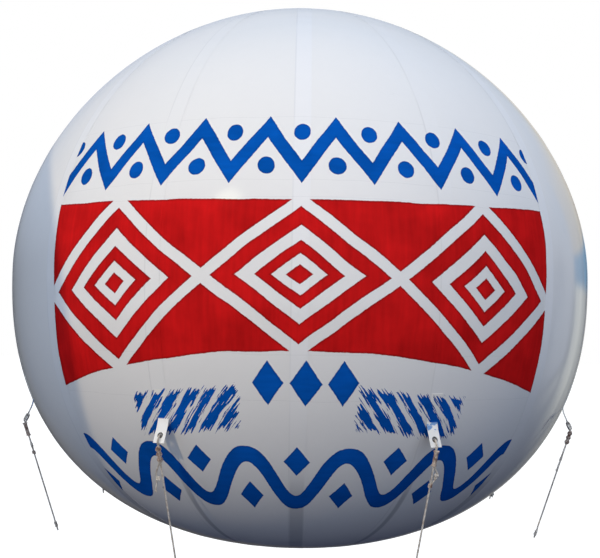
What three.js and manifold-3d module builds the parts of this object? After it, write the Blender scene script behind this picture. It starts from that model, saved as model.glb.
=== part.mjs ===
// Round tether balloon of white PVC film: sixteen gores, seam tapes, two polar patches, a tied
// filling neck, and eight tether tabs with eyelets and ropes.
// Millimetres, +Z up. The origin is the middle of the widest circle, and longitude 0 faces -Y.
import * as THREE from 'three';
import { mergeVertices } from 'three/addons/utils/BufferGeometryUtils.js';
import Module from 'manifold-3d';

// Envelope: the outline's top and base halves are superellipses, and the base is the fuller one
const WIDEST_RADIUS = 1525;
const TOP = { height: 1450, fullness: 1.9 };
const BASE = { height: 1403, fullness: 2.31 };
const WALL = 10;
const GAP = 0.3;
const GORES = 16;
const FACETS_PER_GORE = 4;
const BAND_ROWS = 22;

// Polar patches, which cover the narrow ends of the gores
const PATCH_EDGE_ANGLE = 78.5;
const PATCH_MIDDLE_ANGLE = 84;
const PATCH_THICKNESS = 2.5;
const TOP_TIP_RADIUS = 20;
const BASE_HOLE_RADIUS = 60;

// Seam tapes
const TAPE_WIDTH = 70;
const TAPE_THICKNESS = 2;
const TAPE_END_GAP = 0.5;

// Filling neck, gathered by a tie
const NECK = {
  topRadius: 59.5, topDrop: 4, shoulderRadius: 43.5, shoulderDrop: 13, waistRadius: 21, waistDrop: 34,
  flareRadius: 31, flareDrop: 56, endRadius: 33, drop: 66, sides: 24,
};
const TIE = { height: 15, thickness: 7, rounding: 2 };

// Tether tabs: the upper part is welded flat on the seam, the lower part bends out and hangs free
const TABS = 8;
const TAB = {
  width: 50, thickness: 3, weld: 120, rootHeight: -648, bend: 10, bendSteps: 4, standOff: 33, drop: 100,
  lean: 22.5, straightAboveEyelet: 34,
};
const EYELET = { hole: 15, barrel: 18, flange: 25, flangeThickness: 1.4, fromEnd: 32, sides: 8 };

// Tether ropes: a loop through the eyelet, its lashing, the line and a stopper knot
const ROPE = { diameter: 8, sides: 6, inwardSlope: 0.33, endHeight: -1290 };
const LOOP = { clearance: 0.5, steps: 20, mouth: 2, fullest: 14, pastTab: 2, narrowing: 0.73 };
const LASHING = { diameter: 18, length: 72, belowTab: 10, sides: 8 };
const KNOT = {
  diameter: 30, length: 34, neck: 12, neckTaper: 12, face: 20, faceTaper: 8, grip: 4, sides: 8,
};

const WHITE_PVC = { color: 0xe6e9ee, roughness: 0.28, metalness: 0 };
const TAPE_PVC = { color: 0xeceef3, roughness: 0.25, metalness: 0 };
const ROPE_FIBRE = { color: 0xcfc4ad, roughness: 0.9, metalness: 0 };
const EYELET_METAL = { color: 0xb9bcc0, roughness: 0.3, metalness: 1 };

const wasm = await Module();
wasm.setup();

const radians = THREE.MathUtils.degToRad;
const seamAngle = 360 / GORES;

// A point (radius, height) of the outline at an elevation angle, moved outward along its normal
function outline(angle, outward = 0) {
  const half = angle >= 0 ? TOP : BASE;
  const n = half.fullness;
  const across = Math.cos(radians(angle)) / WIDEST_RADIUS;
  const up = Math.abs(Math.sin(radians(angle))) / half.height;
  const reach = (across ** n + up ** n) ** (-1 / n);
  const normal = new THREE.Vector2(
    (across * reach) ** (n - 1) / WIDEST_RADIUS,
    Math.sign(angle) * (up * reach) ** (n - 1) / half.height,
  ).normalize();
  const point = new THREE.Vector2(Math.cos(radians(angle)), Math.sin(radians(angle)));
  return point.multiplyScalar(reach).addScaledVector(normal, outward);
}

// The outline's elevation angle at a given radius, in the top or the base half
function angleAtRadius(radius, half) {
  const n = half.fullness;
  const height = half.height * (1 - (radius / WIDEST_RADIUS) ** n) ** (1 / n);
  const angle = THREE.MathUtils.radToDeg(Math.atan2(height, radius));
  return half === TOP ? angle : -angle;
}

// A point of the meridian plane turned to a longitude, and shifted sideways from that plane
function around([radius, height], longitude, sideways = 0) {
  const turn = radians(longitude);
  return new THREE.Vector3(
    radius * Math.sin(turn) + sideways * Math.cos(turn),
    -radius * Math.cos(turn) + sideways * Math.sin(turn),
    height,
  );
}

// A closed slab between two grids of points; rows run upward and columns to the right, seen from outside
function slab(outer, inner) {
  const rows = outer.length;
  const columns = outer[0].length;
  const positions = [...outer.flat(), ...inner.flat()].flatMap((p) => [p.x, p.y, p.z]);
  const out = (row, column) => row * columns + column;
  const inside = (row, column) => rows * columns + out(row, column);
  const faces = [];
  for (let i = 0; i + 1 < rows; i += 1) {
    for (let j = 0; j + 1 < columns; j += 1) {
      faces.push(out(i, j), out(i, j + 1), out(i + 1, j + 1), out(i, j), out(i + 1, j + 1), out(i + 1, j));
      faces.push(inside(i, j), inside(i + 1, j + 1), inside(i, j + 1));
      faces.push(inside(i, j), inside(i + 1, j), inside(i + 1, j + 1));
    }
  }
  const rim = [];
  for (let j = 0; j + 1 < columns; j += 1) rim.push([0, j]);
  for (let i = 0; i + 1 < rows; i += 1) rim.push([i, columns - 1]);
  for (let j = columns - 1; j > 0; j -= 1) rim.push([rows - 1, j]);
  for (let i = rows - 1; i > 0; i -= 1) rim.push([i, 0]);
  rim.forEach((from, index) => {
    const to = rim[(index + 1) % rim.length];
    faces.push(out(...to), out(...from), inside(...from), out(...to), inside(...from), inside(...to));
  });
  const geometry = new THREE.BufferGeometry();
  geometry.setAttribute('position', new THREE.Float32BufferAttribute(positions, 3));
  geometry.setIndex(faces);
  geometry.computeVertexNormals();
  return geometry;
}

// A body turned about the Z axis from a closed profile of [radius, height] points
function turned(profile, sides) {
  const closed = [...profile, profile[0]].map(([radius, height]) => new THREE.Vector2(radius, height));
  return new THREE.LatheGeometry(closed, sides).rotateX(Math.PI / 2);
}

// A round bar along a curve
function bar(curve, diameter, sides, steps) {
  const section = new THREE.Shape();
  for (let k = 0; k < sides; k += 1) {
    const turn = (2 * Math.PI * (k + 0.5)) / sides;
    const corner = [Math.cos(turn) * diameter / 2, Math.sin(turn) * diameter / 2];
    if (k === 0) section.moveTo(...corner);
    else section.lineTo(...corner);
  }
  return new THREE.ExtrudeGeometry(section, { steps, extrudePath: curve, bevelEnabled: false });
}

function toSolid(geometry) {
  const bare = geometry.clone();
  bare.deleteAttribute('normal');
  bare.deleteAttribute('uv');
  const merged = mergeVertices(bare, 1e-4);
  return new wasm.Manifold(new wasm.Mesh({
    numProp: 3,
    vertProperties: merged.attributes.position.array,
    triVerts: new Uint32Array(merged.index.array),
  }));
}

function toGeometry(solid) {
  const mesh = solid.getMesh();
  const geometry = new THREE.BufferGeometry();
  geometry.setAttribute('position', new THREE.BufferAttribute(mesh.vertProperties, 3));
  geometry.setIndex(new THREE.BufferAttribute(mesh.triVerts, 1));
  geometry.computeVertexNormals();
  return geometry;
}

const balloon = new THREE.Group();

function addMesh(name, geometry, finish, longitude = 0) {
  const mesh = new THREE.Mesh(geometry, new THREE.MeshStandardMaterial(finish));
  mesh.name = name;
  mesh.rotation.z = radians(longitude);
  balloon.add(mesh);
}

const numbered = (name, index) => `${name}_${String(index + 1).padStart(2, '0')}`;

// Elevation angles of the rings of corners, from the base to the top
const bandAngles = Array.from(
  { length: BAND_ROWS + 1 },
  (_, row) => -PATCH_EDGE_ANGLE + (2 * PATCH_EDGE_ANGLE * row) / BAND_ROWS,
);
const goreAngles = [
  angleAtRadius(BASE_HOLE_RADIUS, BASE),
  -PATCH_MIDDLE_ANGLE,
  ...bandAngles,
  PATCH_MIDDLE_ANGLE,
  angleAtRadius(TOP_TIP_RADIUS, TOP),
];

// One gore, centred on longitude 0: its sides are flat and half a gap short of the seam planes
function goreGrid(outward) {
  return goreAngles.map((angle) => {
    const point = outline(angle, outward).toArray();
    return Array.from({ length: FACETS_PER_GORE + 1 }, (_, column) => {
      const longitude = (column / FACETS_PER_GORE - 0.5) * seamAngle;
      const side = column === 0 ? 1 : column === FACETS_PER_GORE ? -1 : 0;
      return around(point, longitude, (side * GAP) / 2);
    });
  });
}

// A strip over the seam at longitude 0, lying on the two flat facets that meet there
const facetTilt = radians(seamAngle / FACETS_PER_GORE / 2);
function stripRow([radius, height], halfWidth, tilt = facetTilt) {
  return [-1, 0, 1].map((side) => (
    around([radius - Math.abs(side) * halfWidth * Math.tan(tilt), height], 0, side * halfWidth)
  ));
}

// The tape runs from patch to patch and stops a little short of both
function tapeGrid(outward) {
  const points = bandAngles.map((angle) => outline(angle, outward));
  const shorten = (end, next) => {
    end.addScaledVector(next.clone().sub(end).normalize(), TAPE_END_GAP);
  };
  shorten(points[0], points[1]);
  shorten(points.at(-1), points.at(-2));
  return points.map((point) => stripRow(point.toArray(), TAPE_WIDTH / 2));
}

const goreShape = slab(goreGrid(0), goreGrid(-WALL));
const tapeShape = slab(tapeGrid(GAP + TAPE_THICKNESS), tapeGrid(GAP));
for (let k = 0; k < GORES; k += 1) {
  addMesh(numbered('gore', k), goreShape, WHITE_PVC, (k + 0.5) * seamAngle);
  addMesh(numbered('seam_tape', k), tapeShape, TAPE_PVC, k * seamAngle);
}

// Patches over the gores' ends, with the same corners as the gores
const facets = GORES * FACETS_PER_GORE;
const topAngles = [angleAtRadius(TOP_TIP_RADIUS, TOP), PATCH_MIDDLE_ANGLE, PATCH_EDGE_ANGLE];
const topOutside = topAngles.map((angle) => outline(angle, GAP + PATCH_THICKNESS).toArray());
const topInside = topAngles.map((angle) => outline(angle, GAP).toArray());
const topPole = (side) => [0, side[0][1]];
addMesh('top_patch', turned([
  topPole(topInside),
  ...topInside,
  ...topOutside.toReversed(),
  topPole(topOutside),
], facets), WHITE_PVC);

const baseAngles = [angleAtRadius(BASE_HOLE_RADIUS, BASE), -PATCH_MIDDLE_ANGLE, -PATCH_EDGE_ANGLE];
const baseOutside = baseAngles.map((angle) => outline(angle, GAP + PATCH_THICKNESS).toArray());
const baseInside = baseAngles.map((angle) => outline(angle, GAP).toArray());
addMesh('base_patch', turned([...baseOutside, ...baseInside.toReversed()], facets), WHITE_PVC);

// The filling neck closes the hole in the base, and the tie gathers it
const neckTop = -BASE.height + WALL;
const dropped = (distance) => -BASE.height - distance;
const tieTop = dropped(NECK.waistDrop - TIE.height / 2);
const tieBottom = dropped(NECK.waistDrop + TIE.height / 2);
addMesh('filling_neck', turned([
  [0, neckTop],
  [0, dropped(NECK.drop)],
  [NECK.endRadius, dropped(NECK.drop)],
  [NECK.flareRadius, dropped(NECK.flareDrop)],
  [NECK.waistRadius, tieBottom],
  [NECK.waistRadius, tieTop],
  [NECK.shoulderRadius, dropped(NECK.shoulderDrop)],
  [NECK.topRadius, dropped(NECK.topDrop)],
  [NECK.topRadius, neckTop],
], NECK.sides), WHITE_PVC);
const tieInside = NECK.waistRadius + GAP;
const tieOutside = NECK.waistRadius + TIE.thickness;
addMesh('neck_tie', turned([
  [tieInside, tieBottom],
  [tieOutside - TIE.rounding, tieBottom],
  [tieOutside, dropped(NECK.waistDrop)],
  [tieOutside - TIE.rounding, tieTop],
  [tieInside, tieTop],
], NECK.sides), ROPE_FIBRE);

// The tab's middle line in the meridian plane at longitude 0: on the tape, in a bend, then straight
const upperRing = bandAngles.findIndex((angle) => outline(angle).y > TAB.rootHeight);
const skinAbove = outline(bandAngles[upperRing], 2 * GAP + TAPE_THICKNESS + TAB.thickness / 2);
const skinBelow = outline(bandAngles[upperRing - 1], 2 * GAP + TAPE_THICKNESS + TAB.thickness / 2);
const rootShare = (TAB.rootHeight - skinBelow.y) / (skinAbove.y - skinBelow.y);
const root = skinBelow.clone().lerp(skinAbove, rootShare);
const upSkin = skinAbove.clone().sub(skinBelow).normalize();
const weldTop = root.clone().addScaledVector(upSkin, TAB.weld);
const tabEnd = root.clone().add(new THREE.Vector2(TAB.standOff, -TAB.drop));
const downTab = new THREE.Vector2(Math.sin(radians(TAB.lean)), -Math.cos(radians(TAB.lean)));
const eyeletCentre = tabEnd.clone().addScaledVector(downTab, -EYELET.fromEnd);
const bend = new THREE.QuadraticBezierCurve(
  root,
  root.clone().addScaledVector(upSkin, -TAB.bend),
  eyeletCentre.clone().addScaledVector(downTab, -TAB.straightAboveEyelet),
);

const outwardFrom = (down) => new THREE.Vector2(-down.y, down.x);
const awayFromSkin = outwardFrom(upSkin.clone().negate());
const awayFromTab = outwardFrom(downTab);
function tabGrid(side) {
  const rows = [[tabEnd, awayFromTab, 0]];
  for (let step = TAB.bendSteps; step > 0; step -= 1) {
    const share = step / TAB.bendSteps;
    rows.push([bend.getPoint(share), outwardFrom(bend.getTangent(share)), 0]);
  }
  rows.push([root, awayFromSkin, facetTilt], [weldTop, awayFromSkin, facetTilt]);
  return rows.map(([point, away, tilt]) => {
    const face = point.clone().addScaledVector(away, (side * TAB.thickness) / 2);
    return stripRow(face.toArray(), TAB.width / 2, tilt);
  });
}

// Turns a body that was made about the Z axis so that its axis lies along the tab's own normal
function placeOnTab(geometry) {
  const axis = new THREE.Vector3(0, -awayFromTab.x, awayFromTab.y);
  geometry.applyQuaternion(new THREE.Quaternion().setFromUnitVectors(new THREE.Vector3(0, 0, 1), axis));
  return geometry.translate(0, -eyeletCentre.x, eyeletCentre.y);
}

const eyeletHole = EYELET.barrel / 2 + GAP;
const punch = placeOnTab(turned([
  [0, -TAB.thickness],
  [eyeletHole / Math.cos(Math.PI / EYELET.sides), -TAB.thickness],
  [eyeletHole / Math.cos(Math.PI / EYELET.sides), TAB.thickness],
  [0, TAB.thickness],
], EYELET.sides));
const tabShape = toGeometry(toSolid(slab(tabGrid(1), tabGrid(-1))).subtract(toSolid(punch)));

const seat = TAB.thickness / 2 + GAP;
const flangeFace = seat + EYELET.flangeThickness;
const eyeletShape = placeOnTab(turned([
  [EYELET.hole / 2, -flangeFace],
  [EYELET.flange / 2, -flangeFace],
  [EYELET.flange / 2, -seat],
  [EYELET.barrel / 2, -seat],
  [EYELET.barrel / 2, seat],
  [EYELET.flange / 2, seat],
  [EYELET.flange / 2, flangeFace],
  [EYELET.hole / 2, flangeFace],
], EYELET.sides));

// The rope, in the same meridian plane
const inMeridian = (point) => new THREE.Vector3(0, -point.x, point.y);
const downRope = new THREE.Vector2(-ROPE.inwardSlope, -1).normalize();
const loopReach = flangeFace + LOOP.clearance + ROPE.diameter / 2;
const lashingTop = tabEnd.clone().addScaledVector(downTab, LASHING.belowTab);
const lashingEnd = lashingTop.clone().addScaledVector(downRope, LASHING.length);
const lineLength = (lashingEnd.y - ROPE.endHeight) / -downRope.y;
const ropeEnd = lashingEnd.clone().addScaledVector(downRope, lineLength);
const knotTop = ropeEnd.clone().addScaledVector(downRope, -KNOT.length);

function loopPoint(alongTab, away) {
  const point = eyeletCentre.clone().addScaledVector(downTab, alongTab);
  return inMeridian(point.addScaledVector(awayFromTab, away));
}

const lashingInside = lashingTop.clone().addScaledVector(downRope, LASHING.diameter / 2);
const loopNarrow = loopReach * LOOP.narrowing;
const loop = new THREE.CatmullRomCurve3([
  inMeridian(lashingInside),
  loopPoint(EYELET.fromEnd + LOOP.pastTab, loopNarrow),
  loopPoint(LOOP.fullest, loopReach),
  loopPoint(LOOP.mouth, loopNarrow),
  loopPoint(0, 0),
  loopPoint(LOOP.mouth, -loopNarrow),
  loopPoint(LOOP.fullest, -loopReach),
  loopPoint(EYELET.fromEnd + LOOP.pastTab, -loopNarrow),
  inMeridian(lashingInside),
]);

function along(from, to, diameter, sides) {
  return toSolid(bar(new THREE.LineCurve3(inMeridian(from), inMeridian(to)), diameter, sides, 1));
}

function knotSolid() {
  const half = KNOT.length / 2;
  const shape = turned([
    [0, -half],
    [KNOT.face / 2, -half],
    [KNOT.diameter / 2, -half + KNOT.faceTaper],
    [KNOT.diameter / 2, half - KNOT.neckTaper],
    [KNOT.neck / 2, half],
    [0, half],
  ], KNOT.sides);
  const axis = inMeridian(downRope).negate();
  shape.applyQuaternion(new THREE.Quaternion().setFromUnitVectors(new THREE.Vector3(0, 0, 1), axis));
  const middle = inMeridian(ropeEnd.clone().addScaledVector(downRope, -half));
  return toSolid(shape.translate(middle.x, middle.y, middle.z));
}

const lineEnd = knotTop.clone().addScaledVector(downRope, KNOT.grip);
const ropeShape = toGeometry(
  toSolid(bar(loop, ROPE.diameter, ROPE.sides, LOOP.steps))
    .add(along(lashingTop, lashingEnd, LASHING.diameter, LASHING.sides))
    .add(along(lashingInside, lineEnd, ROPE.diameter, ROPE.sides))
    .add(knotSolid()),
);

for (let k = 0; k < TABS; k += 1) {
  const longitude = (k + 0.5) * (360 / TABS);
  addMesh(numbered('tether_tab', k), tabShape, WHITE_PVC, longitude);
  addMesh(numbered('eyelet', k), eyeletShape, EYELET_METAL, longitude);
  addMesh(numbered('tether_rope', k), ropeShape, ROPE_FIBRE, longitude);
}

export default balloon;
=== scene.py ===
"""Dresses the CAD frame of a round tether balloon: film, tapes, paint, tabs, eyelets, ropes and stage."""

import math
from functools import partialmethod

import bmesh
import bpy
from bpy.props import FloatProperty, FloatVectorProperty, IntProperty, PointerProperty
from mathutils import Matrix, Vector


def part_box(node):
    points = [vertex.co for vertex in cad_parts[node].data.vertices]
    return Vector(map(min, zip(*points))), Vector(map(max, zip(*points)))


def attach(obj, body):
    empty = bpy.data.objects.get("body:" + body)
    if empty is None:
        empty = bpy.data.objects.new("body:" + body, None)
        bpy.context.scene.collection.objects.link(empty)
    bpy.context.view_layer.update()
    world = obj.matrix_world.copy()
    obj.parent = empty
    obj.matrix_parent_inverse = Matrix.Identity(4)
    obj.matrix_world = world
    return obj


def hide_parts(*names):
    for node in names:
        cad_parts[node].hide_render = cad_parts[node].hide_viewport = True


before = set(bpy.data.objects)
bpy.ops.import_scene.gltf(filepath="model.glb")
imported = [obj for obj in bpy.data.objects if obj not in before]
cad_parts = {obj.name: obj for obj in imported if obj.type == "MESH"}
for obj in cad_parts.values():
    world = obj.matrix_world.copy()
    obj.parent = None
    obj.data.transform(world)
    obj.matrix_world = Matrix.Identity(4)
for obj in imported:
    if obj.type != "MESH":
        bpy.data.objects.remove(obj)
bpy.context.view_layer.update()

bl_info = {
    "name": "Round tether balloon",
    "version": (1, 0, 0),
    "blender": (4, 5, 0),
    "location": "View3D > Sidebar > Balloon",
    "description": "Makes the film, paint, tabs, eyelets and ropes of a round tether balloon",
    "category": "Add Mesh",
}

BODY = "root"
GORES = 16
TETHERS = 8
FULL_TURN = 2 * math.pi
SEAM_STEP = FULL_TURN / GORES
TETHER_STEP = FULL_TURN / TETHERS
MERGE = 2e-5
SHARP = math.radians(40)


def heading(turn, rise):
    """The direction at a longitude and an elevation."""
    level = math.cos(rise)
    return Vector((math.sin(turn) * level, -math.cos(turn) * level, math.sin(rise)))


def node_names(stem, count):
    return [f"{stem}_{index + 1:02d}" for index in range(count)]


def box_middle(node):
    low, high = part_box(node)
    return (low + high) / 2


# Settings

def length(name, description, default):
    return FloatProperty(name=name, description=description, default=default, unit="LENGTH")


def number(name, description, default):
    return FloatProperty(name=name, description=description, default=default)


def angle(name, description, degrees):
    return FloatProperty(
        name=name, description=description, default=math.radians(degrees), subtype="ANGLE")


def colour(name, description, *levels):
    """A colour of red, green and blue levels, which is opaque."""
    return FloatVectorProperty(
        name=name, description=description, default=(*levels, 1), size=4, subtype="COLOR")


class EnvelopeSettings(bpy.types.PropertyGroup):
    """Sizes of the inflated envelope and its film"""

    widest_radius: length("Widest radius", "Radius of the widest circle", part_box("gore_04")[1].x)
    top_height: length("Top height", "Height of the top pole over the widest circle", 1.450)
    base_height: length("Base height", "Depth of the base pole under the widest circle", 1.403)
    top_fullness: number("Top fullness", "Superellipse exponent of the top half", 1.9)
    base_fullness: number("Base fullness", "Superellipse exponent of the base half", 2.31)
    film: length("Film thickness", "Thickness that the film is drawn with", 0.0012)
    seam_gap: length("Seam gap", "Gap between two gores under their tape", 0.0004)
    tape_width: length("Tape width", "Width of a seam tape", 0.07)
    tape_thickness: length("Tape thickness", "Thickness of a seam tape", 0.0004)
    patch_edge: angle("Patch edge", "Elevation angle of the polar patches' edges", 78.5)
    neck_hole: length("Neck hole", "Radius of the hole in the base", 0.06)
    pucker: length("Pucker", "Height of the puckers along the seams", 0.0012)


class PaintSettings(bpy.types.PropertyGroup):
    """Colours and heights of the painted bands"""

    white: colour("White film", "Colour of the film", 0.80, 0.80, 0.80)
    # Lighter and bluer than the film: partly the tape's own tone, partly painted light for light coming
    # through the tape
    tape: colour("Tape", "Colour of the seam tapes", 0.816, 0.822, 0.838)
    # Lighter than the film: partly the strap's own tone, partly painted light for the free ends that face
    # the light
    tab: colour("Tabs", "Colour of the tether tabs", 0.85, 0.84, 0.81)
    red: colour("Red", "Colour of the wide middle band", 0.56, 0.009, 0.010)
    blue: colour("Blue", "Colour of the upper and lower bands", 0.002, 0.086, 0.42)
    side_turn: angle("Side turn", "Longitude of the two side paintings", 120)
    half_span: angle("Half span", "Half the longitude that one painting covers", 44)
    zigzag_height: length("Zigzag height", "Height of the zigzag's middle line", 0.42)
    band_top: length("Band top", "Height of the middle band's upper edge", 0.21)
    band_base: length("Band base", "Height of the middle band's lower edge", -0.37)
    wave_height: length("Wave height", "Height of the wave's middle line", -0.895)


class TetherSettings(bpy.types.PropertyGroup):
    """Sizes of the tabs, eyelets and ropes"""

    tab_width: length("Tab width", "Width of a tether tab", 0.05)
    tab_thickness: length("Tab thickness", "Thickness of a tether tab", 0.0014)
    tab_weld: length("Tab weld", "Length welded on the seam", 0.12)
    root_height: length("Root height", "Height where the tab leaves the film", -0.648)
    tab_lean: angle("Tab lean", "Lean of the tab's straight end, outward from straight down", 22.5)
    eyelet_hole: length("Eyelet hole", "Radius of the eyelet's hole", 0.0075)
    eyelet_rim: length("Eyelet rim", "Outer radius of the eyelet", 0.0125)
    eyelet_to_end: length("Eyelet to end", "From the eyelet's middle to the tab's end", 0.032)
    rope: length("Rope diameter", "Diameter of a tether rope", 0.008)
    rope_slope: number("Rope slope", "How far a rope runs inward for each metre down", 0.33)
    lay: length("Lay length", "Length of one full twist of the strands", 0.024)
    strands: IntProperty(name="Strands", description="Strands in a rope", default=3)


class StageSettings(bpy.types.PropertyGroup):
    """Where the camera, floor and lights are, and what the sky looks like to the balloon"""

    distance: length("Camera distance", "From the origin to the camera", 4.7275)
    pitch: angle("Camera pitch", "How far the camera looks up", 3.7)
    roll: angle("Camera roll", "Turn of the camera about its view", 0.9)
    lens: number("Lens", "Focal length in millimetres", 50.64)
    floor: length("Floor height", "Height of the floor", -2.4)
    spot_turn: angle("Spot turn", "Longitude of the warm spot", -28)
    spot_rise: angle("Spot rise", "Elevation of the warm spot", 20.5)
    spot_distance: length("Spot distance", "From the origin to the warm spot", 8.0)
    spot_reach: length("Spot reach", "Radius of the spot's circle of light", 4.0)
    spot_power: number("Spot power", "Watts of the warm spot", 711.0)
    spot_colour: colour("Spot colour", "Colour of the warm spot", 1.0, 0.778, 0.464)
    shade_edge: length("Shade edge", "Where the left shade begins, beside the spot's axis", -0.355)
    shade_bow: number("Shade bow", "How much the shade's edge bows to the left above its foot", 0.305)
    shade_foot: length("Shade foot", "Height by the spot's axis above which the edge bows", -1.2)
    key_power: number("Key power", "Watts of the soft key in front", 17.0)
    high_key_power: number("High key power", "Watts of the soft key at the upper right", 40.0)
    key_colour: colour("Key colour", "Colour of the two soft keys", 1.0, 0.97, 1.0)
    key_size: length("Key size", "Diameter of the two soft keys", 3.4)
    key_distance: length("Key distance", "From the origin to the two soft keys", 5.2)
    sun_turn: angle("Sun turn", "Longitude of the sun that the film mirrors", -29)
    sun_rise: angle("Sun rise", "Elevation of the sun that the film mirrors", 29)
    sun_glow: angle("Sun glow", "How far the glow reaches from that sun", 8.5)
    sun: colour("Sun", "Colour of the glow's middle", 4.8, 4.9, 3.8)
    zenith: colour("Zenith", "Colour of the sky overhead", 0.312, 0.457, 0.652)
    horizon: colour("Horizon", "Colour of the sky ahead and at the left", 0.776, 0.877, 1.059)
    ground: colour("Ground", "Colour of the ground", 0.026, 0.031, 0.057)
    right_side: colour("Right side", "Colour of the sky at the right", 0.005, 0.005, 0.012)
    left_back: colour("Left back", "Colour low behind on the left", 0.108, 0.098, 0.085)
    left_high: colour("Left high", "Colour of the sky behind on the left", 0.523, 0.58, 0.694)
    right_back: colour("Right back", "Colour low behind on the right", 0.665, 0.686, 0.715)
    right_high: colour("Right high", "Colour of the sky behind on the right", 0.507, 0.568, 0.659)
    wall_warm: colour("Wall", "Colour of a sunlit wall far behind on the right", 0.93, 0.93, 0.82)
    wall_blue: colour("Wall stripe", "Colour of the stripe above that wall", 0.085, 0.31, 0.54)
    wall_pale: colour("Wall top", "Colour of the pale edge above that stripe", 0.68, 0.61, 0.48)


# Node trees

def give(tree, socket, value):
    """Links value to an input socket, or sets it where it is a plain value."""
    if isinstance(value, Number):
        value = value.socket
    if isinstance(value, bpy.types.NodeSocket):
        tree.links.new(value, socket)
    else:
        socket.default_value = value


class Number:
    """A number that varies over a shape, built from Math nodes in a tree."""

    def __init__(self, tree, socket):
        self.tree = tree
        self.socket = socket

    def work(self, operation, *terms):
        """The result of a Math node on this number and up to two more terms."""
        node = self.tree.nodes.new("ShaderNodeMath")
        node.operation = operation
        for place, term in enumerate((self, *terms)):
            give(self.tree, node.inputs[place], term)
        return Number(self.tree, node.outputs[0])

    __add__ = partialmethod(work, "ADD")
    __sub__ = partialmethod(work, "SUBTRACT")
    __mul__ = partialmethod(work, "MULTIPLY")
    __truediv__ = partialmethod(work, "DIVIDE")
    __pow__ = partialmethod(work, "POWER")
    __neg__ = partialmethod(work, "MULTIPLY", -1.0)
    __abs__ = partialmethod(work, "ABSOLUTE")
    sin = partialmethod(work, "SINE")
    cos = partialmethod(work, "COSINE")
    arctan2 = partialmethod(work, "ARCTAN2")
    exp = partialmethod(work, "EXPONENT")
    root = partialmethod(work, "SQRT")
    sign = partialmethod(work, "SIGN")
    least = partialmethod(work, "MINIMUM")
    most = partialmethod(work, "MAXIMUM")
    over = partialmethod(work, "GREATER_THAN")

    def wrapped(self, step):
        """The signed distance from the nearest multiple of step."""
        return self.work("WRAP", step / 2, -step / 2)

    def choose(self, high, low):
        """high where this is 1 and low where it is 0."""
        return self * (high - low) + low

    def ramp(self, low, high):
        """0 below low, 1 above high, and a smooth step between."""
        node = Nodes(self.tree).add(
            "ShaderNodeMapRange", {"From Min": low, "From Max": high, "Value": self},
            interpolation_type="SMOOTHSTEP")
        return Number(self.tree, node.outputs["Result"])


class Nodes:
    """A node tree with short ways to add to it."""

    def __init__(self, tree):
        self.tree = tree

    def add(self, kind, inputs=None, **settings):
        """Adds a node with its settings and inputs, given by name or place."""
        node = self.tree.nodes.new(kind)
        for name, value in settings.items():
            setattr(node, name, value)
        return self.fill(node, inputs or {})

    def fill(self, node, inputs):
        """Sets or links a node's inputs, given by name or place."""
        for key, value in inputs.items():
            give(self.tree, node.inputs[key], value)
        return node

    def number(self, kind, output=0):
        """The number that a new input node gives."""
        return Number(self.tree, self.add(kind).outputs[output])

    def split(self, vector):
        """The x, y and z of a vector."""
        parts = self.add("ShaderNodeSeparateXYZ", {0: vector}).outputs
        return [Number(self.tree, part) for part in parts]

    def vector(self, x, y, z):
        return self.add("ShaderNodeCombineXYZ", {0: x, 1: y, 2: z}).outputs[0]

    def vector_math(self, operation, inputs):
        return self.add("ShaderNodeVectorMath", inputs, operation=operation).outputs[0]

    def noise(self, place, scale, detail):
        """A noise that varies about 0."""
        made = self.add("ShaderNodeTexNoise", {"Vector": place, "Scale": scale, "Detail": detail})
        return Number(self.tree, made.outputs[0]) - 0.5

    def mix(self, amount, under, over, blend="MIX"):
        node = self.add(
            "ShaderNodeMix", {0: amount, 6: under, 7: over}, data_type="RGBA", blend_type=blend)
        return node.outputs[2]

    def shaded(self, shade, level):
        """A colour multiplied by a number."""
        grey = self.add("ShaderNodeCombineColor", {0: level, 1: level, 2: level}).outputs[0]
        return self.mix(1.0, shade, grey, "MULTIPLY")


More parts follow.
